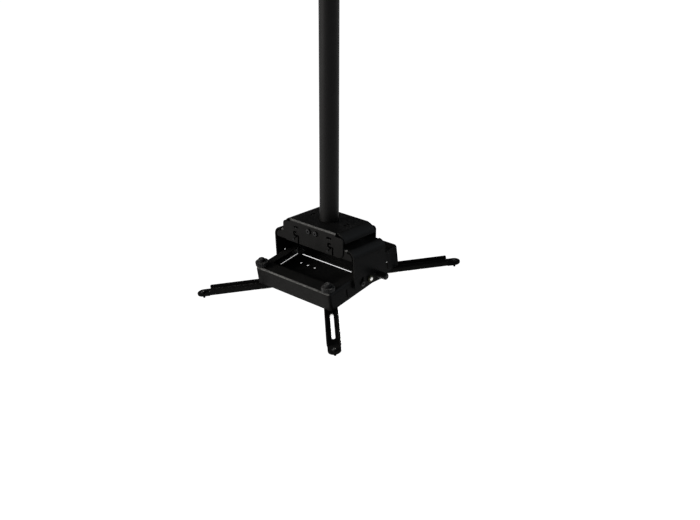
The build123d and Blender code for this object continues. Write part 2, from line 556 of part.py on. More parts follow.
tip_head = rod_z(TIP_HEAD_D, tip_x, 0, WEB_TOP, WEB_TOP + TIP_HEAD_H)
tip_head = fillet(tip_head.edges().group_by(Axis.Z)[-1], TIP_HEAD_R)
neck_low = ARM_LOW - TIP_NECK_OUT
tip_screw = tip_head + rod_z(TIP_NECK_D, tip_x, 0, neck_low, WEB_TOP)
tip_screw = tip_screw + rod_z(TIP_D, tip_x, 0, ARM_LOW - TIP_OUT, neck_low)
cross = Box(CROSS_L, CROSS_W, 2 * CROSS_DEPTH) + Box(CROSS_W, CROSS_L, 2 * CROSS_DEPTH)
tip_screw = tip_screw - Pos(tip_x, 0, WEB_TOP + TIP_HEAD_H) * cross

for name, (x_c, y_c, turn) in corners.items():
    spread = Pos(x_c, y_c, 0) * Rot(0, 0, turn)
    save_tray(spread * arm, "arm_" + name)
    save_tray(spread * tip_screw, "tip_screw_" + name)
    save_tray(spread * shoe, "slide_shoe_" + name)
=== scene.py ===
"""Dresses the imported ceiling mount: finishes, softened edges, threads and welds, and a studio stage."""
import json
import math

import bmesh
import bpy
from bpy.props import FloatProperty, FloatVectorProperty, IntProperty, PointerProperty
from mathutils import Matrix, Vector

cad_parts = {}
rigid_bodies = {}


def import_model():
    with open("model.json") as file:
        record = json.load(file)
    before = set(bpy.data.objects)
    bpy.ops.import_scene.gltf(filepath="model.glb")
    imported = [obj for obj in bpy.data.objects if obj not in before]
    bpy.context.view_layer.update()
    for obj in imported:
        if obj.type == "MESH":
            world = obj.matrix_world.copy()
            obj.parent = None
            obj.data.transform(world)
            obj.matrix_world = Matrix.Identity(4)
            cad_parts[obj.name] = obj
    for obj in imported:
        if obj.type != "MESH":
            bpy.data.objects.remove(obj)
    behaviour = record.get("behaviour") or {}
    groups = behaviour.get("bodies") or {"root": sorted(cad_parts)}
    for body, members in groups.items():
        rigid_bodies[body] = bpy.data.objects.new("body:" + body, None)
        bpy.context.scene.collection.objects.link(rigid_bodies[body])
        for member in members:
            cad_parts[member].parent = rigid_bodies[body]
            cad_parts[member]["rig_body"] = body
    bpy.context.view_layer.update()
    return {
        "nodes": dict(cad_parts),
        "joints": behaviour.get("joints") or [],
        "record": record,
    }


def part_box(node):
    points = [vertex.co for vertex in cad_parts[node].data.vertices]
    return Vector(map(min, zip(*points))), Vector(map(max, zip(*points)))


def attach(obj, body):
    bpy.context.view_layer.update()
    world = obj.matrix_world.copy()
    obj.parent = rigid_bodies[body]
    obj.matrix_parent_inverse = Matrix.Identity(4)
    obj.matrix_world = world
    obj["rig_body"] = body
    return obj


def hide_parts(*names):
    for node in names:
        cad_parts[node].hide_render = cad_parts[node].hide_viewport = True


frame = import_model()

bl_info = {
    "name": "Ceiling Mount Finishes",
    "version": (1, 0, 0),
    "blender": (4, 5, 0),
    "location": "3D View > Sidebar > Mount",
    "description": "Adds finishes, threads, welds and a studio to the packed ceiling mount",
    "category": "Object",
}

JOINTS = {joint["name"]: joint for joint in frame["joints"]}
MOUNTS = {mount["name"]: mount for mount in frame["record"]["mounts"]}
CORNERS = ("fl", "fr", "bl", "br")
FRONT_CORNERS = ("fl", "fr")

SHEET = 0.002  # thickness of the folded sheet
BOLT_RADIUS, BOLT_PITCH, BOLT_FLATS, BOLT_HEAD = 0.003, 0.001, 0.010, 0.004  # pivot bolts
CROSS_BOLT_RADIUS = 0.00295
NUT_HOLE = 0.00302
STUD_RADIUS, STUD_PITCH = 0.0025, 0.0008  # thumb studs
STUD_TOP, STUD_THREAD, STUD_END = -0.009, 0.020, 0.0437  # heights below the knob's seat
TIP_CORE, TIP_PITCH = 0.00165, 0.0007  # tip screws


class MountFinishes(bpy.types.PropertyGroup):
    """Colours and surface values of the mount."""
    coat: FloatVectorProperty(name="Powder coat", description="Colour of the coated sheet", subtype="COLOR",
                              size=3, min=0, max=1, default=(0.0180, 0.0177, 0.0175))
    tube: FloatVectorProperty(name="Tube coat", description="Colour of the coated pole", subtype="COLOR",
                              size=3, min=0, max=1, default=(0.0064, 0.0062, 0.0061))
    oxide: FloatVectorProperty(name="Black oxide", description="Colour of the black screws", subtype="COLOR",
                               size=3, min=0, max=1, default=(0.023, 0.023, 0.024))
    plastic: FloatVectorProperty(name="Knob plastic", description="Colour of the moulded knobs",
                                 subtype="COLOR", size=3, min=0, max=1, default=(0.021, 0.021, 0.0217))
    zinc: FloatVectorProperty(name="Bright zinc", description="Colour of the plated bolts", subtype="COLOR",
                              size=3, min=0, max=1, default=(0.72, 0.72, 0.70))
    # A darker copy of the plated zinc, painted shade on the pivot bolts' heads and shanks; the bolt end past the
    # nut keeps the bright zinc.
    shaded_zinc_colour: FloatVectorProperty(name="Shaded zinc", description="Colour of the pivot bolts' heads and shanks, darkened as painted shade",
                              subtype="COLOR", size=3, min=0, max=1, default=(0.110, 0.110, 0.106))
    olive: FloatVectorProperty(name="Olive zinc", description="Colour of the passivated nuts", subtype="COLOR",
                               size=3, min=0, max=1, default=(0.100, 0.097, 0.057))
    settled: FloatVectorProperty(name="Dust colour", description="Colour of the settled dust", subtype="COLOR",
                                 size=3, min=0, max=1, default=(0.15, 0.147, 0.138))
    # Pale colour painted on the forward bends and the shoulders as highlight and sheen.
    bend_highlight_colour: FloatVectorProperty(name="Bend highlight colour", description="Colour of the painted highlight and sheen on the bends",
                                subtype="COLOR", size=3, min=0, max=1, default=(0.29, 0.29, 0.285))
    # Pale colour painted on the thumb knobs' tops as a highlight.
    pale_highlight: FloatVectorProperty(name="Knob cap highlight", description="Colour of the painted highlight on the thumb knobs' tops",
                              subtype="COLOR", size=3, min=0, max=1, default=(0.46, 0.46, 0.45))
    grain: FloatProperty(name="Coat grain", description="Size of the powder coat's texture", subtype="DISTANCE",
                         unit="LENGTH", min=0.0001, default=0.0011)
    dust: FloatProperty(name="Dust", description="How much dust lies on faces that look up", subtype="FACTOR",
                        min=0, max=1, default=0.03)
    # Up-facing pale layer on the tilt knob: dust, together with a painted highlight on its upper faces.
    knob_dust_and_highlight: FloatProperty(name="Knob dust and highlight", description="How much dust and painted highlight lie on the tilt knob's upward faces",
                             subtype="FACTOR", min=0, max=1, default=0.3)
    # Strength of the painted highlight on the thumb knobs' tops.
    cap_highlight: FloatProperty(name="Cap highlight", description="How strong the painted highlight on the thumb knobs' tops is",
                            subtype="FACTOR", min=0, max=1, default=0.7)
    # Strength of the painted highlight and sheen on the bends.
    bend_highlight: FloatProperty(name="Painted bend highlights", description="How strong the painted highlight and sheen on the bends are",
                       subtype="FACTOR", min=0, max=1, default=0.8)


class MountSizes(bpy.types.PropertyGroup):
    """Small sizes that are added to the solids."""
    edge: FloatProperty(name="Edge radius", description="Softened edge of the cut sheet", subtype="DISTANCE",
                        unit="LENGTH", min=0.00005, default=0.00035)
    fine_edge: FloatProperty(name="Fine edge", description="Softened edge of screws and small pieces",
                             subtype="DISTANCE", unit="LENGTH", min=0.00002, default=0.00018)
    weld: FloatProperty(name="Weld bead", description="Width of the weld seam under the ceiling plate",
                        subtype="DISTANCE", unit="LENGTH", min=0.0005, default=0.0034)
    turn: IntProperty(name="Thread sides", description="Steps around one turn of a thread", min=12, default=28)


class MountStage(bpy.types.PropertyGroup):
    """Floor, lights and camera."""
    floor: FloatProperty(name="Floor", description="Floor below the ceiling", subtype="DISTANCE",
                         unit="LENGTH", min=0.7, default=2.4)
    world: FloatProperty(name="Room light", description="Strength of the even light", min=0, default=0.06)
    key: FloatProperty(name="Key light", description="Power of the warm front left light", subtype="POWER",
                       unit="POWER", min=0, default=41)
    fill: FloatProperty(name="Fill light", description="Power of the cool right light", subtype="POWER",
                        unit="POWER", min=0, default=6)
    back: FloatProperty(name="Back light", description="Power of the light on the far sides", subtype="POWER",
                        unit="POWER", min=0, default=45)
    bend: FloatProperty(name="Bend light", description="Power of the small high light", subtype="POWER",
                        unit="POWER", min=0, default=2)
    lens: FloatProperty(name="Lens", description="Focal length", unit="CAMERA", min=1, default=50)


def finishes():
    return bpy.context.scene.mount_finishes


def sizes():
    return bpy.context.scene.mount_sizes


def add_node(tree, kind, **values):
    """Adds a node and sets the inputs or settings that are named."""
    node = tree.nodes.new(kind)
    for key, value in values.items():
        if key in node.inputs:
            node.inputs[key].default_value = value
        else:
            setattr(node, key, value)
    return node


def add_math(tree, operation, *terms):
    """Adds a Math node whose terms are sockets or numbers, and gives its result."""
    node = add_node(tree, "ShaderNodeMath", operation=operation)
    for socket, term in zip(node.inputs, terms):
        if isinstance(term, float):
            socket.default_value = term
        else:
            tree.links.new(term, socket)
    return node.outputs[0]


def add_range(tree, value, low, high, ends=(0.0, 1.0)):
    """Adds a Map Range node that takes low and high to the two ends."""
    node = add_node(tree, "ShaderNodeMapRange")
    tree.links.new(value, node.inputs["Value"])
    for label, number in zip(("From Min", "From Max", "To Min", "To Max"), (low, high, *ends)):
        node.inputs[label].default_value = number
    return node


def shader_group(name, inputs, outputs):
    group = bpy.data.node_groups.new(name, "ShaderNodeTree")
    for label, value in inputs:
        socket = group.interface.new_socket(label, in_out="INPUT", socket_type="NodeSocketFloat")
        socket.default_value = value
    for label in outputs:
        group.interface.new_socket(label, in_out="OUTPUT", socket_type="NodeSocketFloat")
    return group, group.nodes.new("NodeGroupInput"), group.nodes.new("NodeGroupOutput")


def grain_group():
    """Fine texture of a sprayed or moulded surface, with slow tone changes."""
    if "Surface Grain" in bpy.data.node_groups:
        return bpy.data.node_groups["Surface Grain"]
    group, given, out = shader_group("Surface Grain", [("Scale", 900.0)], ["Height", "Tone"])
    link = group.links.new
    place = add_node(group, "ShaderNodeTexCoord").outputs["Object"]
    fine = add_node(group, "ShaderNodeTexNoise", Detail=2.0, Roughness=0.55)
    link(place, fine.inputs["Vector"])
    link(given.outputs["Scale"], fine.inputs["Scale"])
    pits = add_node(group, "ShaderNodeTexVoronoi", feature="SMOOTH_F1")
    link(place, pits.inputs["Vector"])
    link(add_math(group, "MULTIPLY", given.outputs["Scale"], 0.6), pits.inputs["Scale"])
    height = add_math(group, "MULTIPLY_ADD", pits.outputs["Distance"], 0.5, fine.outputs[0])
    link(height, out.inputs["Height"])
    slow = add_node(group, "ShaderNodeTexNoise", Scale=28.0, Detail=4.0, Roughness=0.6)
    link(place, slow.inputs["Vector"])
    mixed = add_math(group, "MULTIPLY_ADD", fine.outputs[0], 0.4, slow.outputs[0])
    link(add_range(group, mixed, 0.45, 0.95).outputs[0], out.inputs["Tone"])
    return group


def dust_and_highlight_group():
    """Pale, patchy colour on faces that look up: settled dust on the coats, a painted highlight on the thumb
    knobs' tops, and dust together with painted highlight on the tilt knob.
    """
    if "Dust And Painted Highlight" in bpy.data.node_groups:
        return bpy.data.node_groups["Dust And Painted Highlight"]
    group, given, out = shader_group("Dust And Painted Highlight", [("Amount", 0.1)], ["Mask"])
    link = group.links.new
    facing = add_node(group, "ShaderNodeSeparateXYZ")
    link(add_node(group, "ShaderNodeNewGeometry").outputs["Normal"], facing.inputs[0])
    up = add_range(group, facing.outputs["Z"], 0.55, 1.0)
    patch = add_node(group, "ShaderNodeTexNoise", Scale=140.0, Detail=5.0, Roughness=0.7)
    link(add_node(group, "ShaderNodeTexCoord").outputs["Object"], patch.inputs["Vector"])
    spots = add_range(group, patch.outputs[0], 0.42, 0.75)
    lying = add_math(group, "MULTIPLY", up.outputs[0], spots.outputs[0])
    link(add_math(group, "MULTIPLY", lying, given.outputs["Amount"]), out.inputs["Mask"])
    return group


def bend_highlight_group():
    """Painted highlight in patches along the bends that face forward and up, and a little painted sheen on the
    shoulders.
    """
    if "Painted Bend Highlights" in bpy.data.node_groups:
        return bpy.data.node_groups["Painted Bend Highlights"]
    group, given, out = shader_group("Painted Bend Highlights", [("Amount", 0.8), ("Shoulder", 0.24)], ["Mask"])
    link = group.links.new
    place = add_node(group, "ShaderNodeTexCoord")
    facing = add_node(group, "ShaderNodeSeparateXYZ")
    link(place.outputs["Normal"], facing.inputs[0])
    # Bends whose normal leans forward and up, where the front light glints, get the painted highlight.
    forward = add_math(group, "MULTIPLY", facing.outputs["Y"], facing.outputs["Z"])
    crest = add_range(group, forward, -0.26, -0.44)
    patch = add_node(group, "ShaderNodeTexNoise", Scale=90.0, Detail=4.0, Roughness=0.65)
    link(place.outputs["Object"], patch.inputs["Vector"])
    pale_highlight = add_range(group, patch.outputs[0], 0.20, 0.60)
    patchy = add_math(group, "MULTIPLY", crest.outputs[0], pale_highlight.outputs[0])
    # Shoulders that lean sideways and up get a painted sheen.
    sideways = add_math(group, "MULTIPLY", facing.outputs["X"], facing.outputs["Z"])
    shoulder = add_range(group, add_math(group, "ABSOLUTE", sideways), 0.10, 0.50)
    link(given.outputs["Shoulder"], shoulder.inputs["To Max"])
    most = add_math(group, "MAXIMUM", patchy, shoulder.outputs[0])
    link(add_math(group, "MULTIPLY", most, given.outputs["Amount"]), out.inputs["Mask"])
    return group


# dust is the amount of the up-facing pale layer: settled dust on the coats, a painted highlight on the thumb
# knobs.
def finish_material(name, colour, rough, bump, scale, metallic=0.0, specular=0.5, tone=0.25, dust=0.0,
                    pale_layer_colour=None, bend_highlight=0.0):
    """One finish: tone and roughness follow the grain, the grain also raises the surface."""
    if name in bpy.data.materials:
        return bpy.data.materials[name]
    material = bpy.data.materials.new(name)
    material.use_nodes = True
    tree = material.node_tree
    link = tree.links.new
    skin = tree.nodes["Principled BSDF"]
    skin.inputs["Metallic"].default_value = metallic
    skin.inputs["Specular IOR Level"].default_value = specular
    grain = add_node(tree, "ShaderNodeGroup", node_tree=grain_group())
    grain.inputs["Scale"].default_value = scale
    shade = add_node(tree, "ShaderNodeMix", data_type="RGBA")
    link(grain.outputs["Tone"], shade.inputs["Factor"])
    shade.inputs["A"].default_value = (*[c * (1 - tone) for c in colour], 1)
    shade.inputs["B"].default_value = (*[min(1.0, c * (1 + tone)) for c in colour], 1)
    shown = shade.outputs["Result"]
    # Layers over the grain: the up-facing pale layer (settled dust on the coats, painted highlight on the thumb
    # knob tops, both on the tilt knob), then the painted highlight and sheen on the bends.
    layers = ((dust_and_highlight_group, dust, pale_layer_colour or finishes().settled), (bend_highlight_group, bend_highlight, finishes().bend_highlight_colour))
    for group, amount, over in layers:
        if amount:
            mask = add_node(tree, "ShaderNodeGroup", node_tree=group())
            mask.inputs["Amount"].default_value = amount
            layer = add_node(tree, "ShaderNodeMix", data_type="RGBA")
            link(mask.outputs["Mask"], layer.inputs["Factor"])
            link(shown, layer.inputs["A"])
            layer.inputs["B"].default_value = (*over, 1)
            shown = layer.outputs["Result"]
    link(shown, skin.inputs["Base Color"])
    link(add_range(tree, grain.outputs["Tone"], 0.0, 1.0, rough).outputs[0], skin.inputs["Roughness"])
    raised = add_node(tree, "ShaderNodeBump", Strength=1.0, Distance=bump)
    link(grain.outputs["Height"], raised.inputs["Height"])
    link(raised.outputs[0], skin.inputs["Normal"])
    return material


def sheet_coat():
    look = finishes()
    # The sheet coat carries the painted bend highlight and shoulder sheen.
    return finish_material("satin_powder_coat", look.coat, (0.30, 0.40), 0.00003, 1 / look.grain,
                           specular=0.022, dust=look.dust, bend_highlight=look.bend_highlight)


def tube_coat():
    look = finishes()
    return finish_material("tube_powder_coat", look.tube, (0.52, 0.60), 0.00002, 1 / look.grain,
                           specular=0.14, dust=look.dust)


def black_oxide():
    return finish_material("black_oxide", finishes().oxide, (0.34, 0.48), 0.00001, 2600.0,
                           metallic=0.1, specular=0.12)


# The tilt knob's up-facing faces are paled by dust and by a painted highlight.
def knob_plastic():
    look = finishes()
    return finish_material("moulded_plastic", look.plastic, (0.30, 0.42), 0.00002, 2200.0, specular=0.10,
                           dust=look.knob_dust_and_highlight)


# Knob plastic whose faces that look up are painted pale as a highlight.
def painted_highlight_plastic():
    look = finishes()
    return finish_material("painted_highlight_plastic", look.plastic, (0.30, 0.42), 0.00002, 2200.0, specular=0.10,
                           dust=look.cap_highlight, pale_layer_colour=look.pale_highlight)


def bright_zinc():
    return finish_material("bright_zinc", finishes().zinc, (0.20, 0.36), 0.000006, 1800.0,
                           metallic=1.0, tone=0.12)


# Darker copy of the bright zinc: painted shade on the pivot bolts' heads and shanks.
def shaded_zinc():
    return finish_material("shaded_zinc", finishes().shaded_zinc_colour, (0.40, 0.55), 0.000006, 1800.0,
                           metallic=0.8, tone=0.2)


# Pale steel for the tip screws' cross recess, which shows as a bright spot in the dark head.
def pale_recess_steel():
    return finish_material("pale_recess_steel", finishes().zinc, (0.35, 0.5), 0.000006, 1800.0,
                           metallic=0.3, tone=0.15)


def olive_zinc():
    return finish_material("olive_zinc", finishes().olive, (0.28, 0.44), 0.000006, 1500.0,
                           metallic=0.2, specular=0.1, tone=0.3)


def soften(node, edge, merge=True):
    """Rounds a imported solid's sharp edges with modifiers only. merge joins its flat triangles first, which
    a plate with many holes can't take."""
    piece = frame["nodes"][node]
    weld = piece.modifiers.new("join", "WELD")
    weld.merge_threshold = 0.000002
    if merge:
        flat = piece.modifiers.new("flat", "DECIMATE")
        flat.decimate_type = "DISSOLVE"
        flat.angle_limit = math.radians(0.25)
    rounded = piece.modifiers.new("edge", "BEVEL")
    rounded.width = edge
    rounded.segments = 2
    rounded.limit_method = "ANGLE"
    rounded.angle_limit = math.radians(38)
    rounded.use_clamp_overlap = True
    rounded.miter_outer = "MITER_ARC"
    smooth = piece.modifiers.new("smooth", "WEIGHTED_NORMAL")
    smooth.keep_sharp = False
    smooth.weight = 60
    return piece


def dress(nodes, material, edge, merge=True):
    for node in nodes:
        piece = soften(node, edge, merge)
        piece.data.materials.clear()
        piece.data.materials.append(material)


def body_of(node):
    return frame["nodes"][node]["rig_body"]


def new_piece(name, mesh, material, body, replaced=()):
    """Shows a finished mesh, riding on its body, in place of the solids it stands for."""
    bm = bmesh.new()
    bm.from_mesh(mesh)
    bmesh.ops.remove_doubles(bm, verts=bm.verts, dist=0.000001)
    bmesh.ops.recalc_face_normals(bm, faces=bm.faces)
    bm.to_mesh(mesh)
    bm.free()
    piece = bpy.data.objects.new(name, mesh)
    bpy.context.scene.collection.objects.link(piece)
    mesh.materials.append(material)
    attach(piece, body)
    if replaced:
        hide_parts(*replaced)
    return piece


def axis_frame(origin, axis):
    """Places a mesh drawn along +Z so that it starts at origin and runs along axis."""
    turn = Vector(axis).normalized().to_track_quat("Z", "Y")
    return Matrix.Translation(Vector(origin)) @ turn.to_matrix().to_4x4()


def turned_profile(profile, sides, place, points, faces):
    """Adds a solid of revolution: profile is a list of (radius, height) from one end to the other."""
    first = len(points)
    for radius, height in profile:
        for step in range(sides):
            turn = 2 * math.pi * step / sides
            points.append(place @ Vector((radius * math.cos(turn), radius * math.sin(turn), height)))
    for row in range(len(profile) - 1):
        for step in range(sides):
            here = first + row * sides
            after = (step + 1) % sides
            faces.append((here + step, here + after, here + sides + after, here + sides + step))
    faces.append(tuple(first + step for step in reversed(range(sides))))
    last = first + (len(profile) - 1) * sides
    faces.append(tuple(last + step for step in range(sides)))


def thread_points(radius, pitch, start, end, sides, place, points, faces):
    """Adds a screw thread between two heights, with run-out at both ends and closed ends."""
    depth = 0.54 * pitch
    per_turn = 6
    rows = max(4, int(round((end - start) / pitch * per_turn)))
    first = len(points)
    for row in range(rows + 1):
        height = start + (end - start) * row / rows
        for step in range(sides):
            turn = step / sides
            phase = (height / pitch - turn) % 1.0
            groove = min(1.0, max(0.0, 1.25 - abs(phase - 0.5) * 3.6))
            taper = min(1.0, (end - height) / pitch, (height - start) / (0.6 * pitch) + 0.15)
            reach = radius - depth * groove
            if end - height < pitch:
                reach = min(reach, radius - 0.6 * depth * (1 - max(0.0, taper)))
            angle = 2 * math.pi * turn
            points.append(place @ Vector((reach * math.cos(angle), reach * math.sin(angle), height)))
    for row in range(rows):
        for step in range(sides):
            here = first + row * sides
            after = (step + 1) % sides
            faces.append((here + step, here + after, here + sides + after, here + sides + step))
    faces.append(tuple(first + step for step in reversed(range(sides))))
    last = first + rows * sides
    faces.append(tuple(last + step for step in range(sides)))


def hexagon(flats, low, high, place, points, faces, hole=0.0):
    """Adds a hexagon head or nut whose corners are turned down at both ends."""
    sides = 48
    corner = flats / math.sqrt(3)
    cut = corner - flats / 2
    rows = []
    for height, trim in ((low, 0.0), (low + 0.3 * cut, 1.0), (high - 0.55 * cut, 1.0), (high, 0.0)):
        ring = []
        for step in range(sides):
            turn = 2 * math.pi * step / sides
            within = (turn + math.pi / 6) % (math.pi / 3) - math.pi / 6
            full = flats / 2 / math.cos(within)
            limit = flats / 2 * 0.985 + (corner - flats / 2 * 0.985) * trim
            reach = min(full, limit)
            ring.append(place @ Vector((reach * math.cos(turn), reach * math.sin(turn), height)))
        rows.append(ring)
    if hole:
        inner = []
        for height in (high, low):
            inner.append([place @ Vector((hole * math.cos(2 * math.pi * step / sides),
                                          hole * math.sin(2 * math.pi * step / sides), height))
                          for step in range(sides)])
        rows = rows + inner
    first = len(points)
    for ring in rows:
        points.extend(ring)
    count = len(rows)
    for row in range(count if hole else count - 1):
        here = first + row * sides
        there = first + ((row + 1) % count) * sides
        for step in range(sides):
            after = (step + 1) % sides
            faces.append((here + step, here + after, there + after, there + step))
    if not hole:
        faces.append(tuple(first + step for step in reversed(range(sides))))
        last = first + (count - 1) * sides
        faces.append(tuple(last + step for step in range(sides)))


def built_mesh(name, points, faces, smooth_angle=35):
    mesh = bpy.data.meshes.new(name)
    mesh.from_pydata([tuple(p) for p in points], [], faces)
    mesh.shade_smooth()
    mesh.set_sharp_from_angle(angle=math.radians(smooth_angle))
    return mesh


def tray_frame_matrix():
    """The tray's own axes: origin on the tilt axis, tilted as built."""
    up = Vector(JOINTS["arm_swing_fl"]["axis"])
    across = Vector((1, 0, 0))
    back = up.cross(across)
    rows = [(across[i], back[i], up[i], JOINTS["tray_tilt"]["pos_m"][i]) for i in range(3)]
    return Matrix((*rows, (0, 0, 0, 1)))


class MOUNT_OT_pole(bpy.types.Operator):
    """Coat the pole and the ceiling end, thread the cross bolt and lay the weld"""
    bl_idname = "mount.pole"
    bl_label = "Pole and Ceiling End"

    def execute(self, context):
        dress(("ceiling_plate",), sheet_coat(), sizes().edge)
        dress(("ceiling_socket", "drop_pole", "pole_collar", "pole_stop_ring"), tube_coat(), sizes().edge)
        low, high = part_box("ceiling_socket")
        radius = (high.x - low.x) / 2
        self.lay_weld(radius, high.z)
        self.cross_bolt(radius)
        return {"FINISHED"}

    def lay_weld(self, radius, top):
        """A rippled fillet seam between the socket and the plate."""
        width = sizes().weld
        around, across = 180, 7
        points, faces = [], []
        for step in range(around):
            turn = 2 * math.pi * step / around
            ripple = 1 + 0.07 * math.cos(45 * turn) + 0.05 * math.sin(7 * turn)
            for row in range(across):
                lean = math.pi / 2 * row / (across - 1)
                out = radius - 0.0002 + width * ripple * (1 - math.sin(lean) * 0.98)
                down = width * ripple * (1 - math.cos(lean) * 0.98)
                points.append((out * math.cos(turn), out * math.sin(turn), top - down))
        for step in range(around):
            for row in range(across - 1):
                here, there = step * across + row, (step + 1) % around * across + row
                faces.append((here, there, there + 1, here + 1))
        mesh = built_mesh("socket_weld", points, faces, 60)
        new_piece("socket_weld", mesh, tube_coat(), "ceiling_pole")

    def cross_bolt(self, radius):
        low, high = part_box("socket_bolt")
        nut_low, nut_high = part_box("socket_nut")
        flats = high.y - low.y
        place = axis_frame((high.x, 0, (low.z + high.z) / 2), (-1, 0, 0))
        head = high.x - radius
        length = high.x - low.x
        shank = CROSS_BOLT_RADIUS
        points, faces = [], []
        hexagon(flats, head, 0.0, place, points, faces)
        turned_profile([(shank, head), (shank, length * 0.5)], 32, place, points, faces)
        thread_points(shank, BOLT_PITCH, length * 0.5, length, sizes().turn, place, points, faces)
        mesh = built_mesh("cross_bolt", points, faces)
        new_piece("cross_bolt", mesh, bright_zinc(), "ceiling_pole", ["socket_bolt"])
        points, faces = [], []
        place = axis_frame((nut_low.x, 0, (nut_low.z + nut_high.z) / 2), (1, 0, 0))
        hexagon(flats, 0.0, nut_high.x - nut_low.x, place, points, faces, hole=NUT_HOLE)
        mesh = built_mesh("cross_nut", points, faces)
        new_piece("cross_nut", mesh, bright_zinc(), "ceiling_pole", ["socket_nut"])


class MOUNT_OT_brackets(bpy.types.Operator):
    """Coat and soften the two folded brackets, with their screws and hook studs"""
    bl_idname = "mount.brackets"
    bl_label = "Folded Brackets"

    def execute(self, context):
        dress(("upper_bracket", "lower_bracket"), sheet_coat(), sizes().edge)
        dress(("collar_screws", "hook_studs"), black_oxide(), sizes().fine_edge)
        return {"FINISHED"}


class MOUNT_OT_tray(bpy.types.Operator):
    """Coat the tray, its floor and the corner tubes"""
    bl_idname = "mount.tray"
    bl_label = "Tray"

    def execute(self, context):
        dress(("tray_frame",), sheet_coat(), sizes().edge)
        dress(("tray_floor",), sheet_coat(), sizes().edge, merge=False)
        dress(("corner_standoffs",), tube_coat(), sizes().fine_edge)
        dress(("back_clamp_screws",), black_oxide(), sizes().fine_edge)
        return {"FINISHED"}


class MOUNT_OT_tilt(bpy.types.Operator):
    """Thread the pivot bolts, chamfer their nuts and finish the tilt locks"""
    bl_idname = "mount.tilt"
    bl_label = "Tilt Hardware"

    def execute(self, context):
        dress(("tilt_lock_screws", "lock_weld_nuts"), black_oxide(), sizes().fine_edge)
        dress(("pivot_spacers", "tilt_stud"), bright_zinc(), sizes().fine_edge)
        dress(("tilt_knob",), knob_plastic(), sizes().fine_edge)
        bolt_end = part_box("pivot_bolts")[1].x
        nut_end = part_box("pivot_nuts")[1].x
        plate_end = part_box("lower_bracket")[1].x
        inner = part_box("tray_frame")[1].x - SHEET
        tray = tray_frame_matrix()
        bolts = ([], [])
        nuts = ([], [])
        for side in (-1, 1):
            place = tray @ axis_frame((0, 0, 0), (side, 0, 0))
            hexagon(BOLT_FLATS, inner, inner - BOLT_HEAD, place, *bolts)
            turned_profile([(BOLT_RADIUS, inner), (BOLT_RADIUS, plate_end)], 36, place, *bolts)
            thread_points(BOLT_RADIUS, BOLT_PITCH, plate_end, bolt_end, sizes().turn, place, *bolts)
            hexagon(BOLT_FLATS, plate_end, nut_end, place, *nuts, hole=NUT_HOLE)
        mesh = built_mesh("pivot_bolt_pair", *bolts)
        piece = new_piece("pivot_bolt_pair", mesh, shaded_zinc(), "tray", ["pivot_bolts"])
        # Only the bolt end past the nut keeps the bright zinc; the head and shank take the darker, painted-shade
        # zinc.
        piece.data.materials.append(bright_zinc())
        for face in piece.data.polygons:
            face.material_index = int(abs(face.center.x) > nut_end)
        mesh = built_mesh("pivot_nut_pair", *nuts)
        new_piece("pivot_nut_pair", mesh, olive_zinc(), "tray", ["pivot_nuts"])
        return {"FINISHED"}


class MOUNT_OT_knobs(bpy.types.Operator):
    """Finish the two thumb knobs and thread their studs"""
    bl_idname = "mount.knobs"
    bl_label = "Thumb Knobs"

    def execute(self, context):
        for corner in FRONT_CORNERS:
            knob = "thumb_knob_" + corner
            stud = "thumb_stud_" + corner
            # The thumb knobs' tops get the painted highlight.
            dress((knob,), painted_highlight_plastic(), sizes().fine_edge)
            seat = Vector(JOINTS["thumb_turn_" + corner]["pos_m"])
            up = Vector(JOINTS["thumb_turn_" + corner]["axis"])
            place = axis_frame(seat, -up)
            points, faces = [], []
            turned_profile([(STUD_RADIUS, STUD_TOP), (STUD_RADIUS, STUD_THREAD)], 32, place, points, faces)
            thread_points(STUD_RADIUS, STUD_PITCH, STUD_THREAD, STUD_END, sizes().turn, place, points, faces)
            mesh = built_mesh("thumb_thread_" + corner, points, faces)
            new_piece("thumb_thread_" + corner, mesh, bright_zinc(), body_of(stud), [stud])
        return {"FINISHED"}


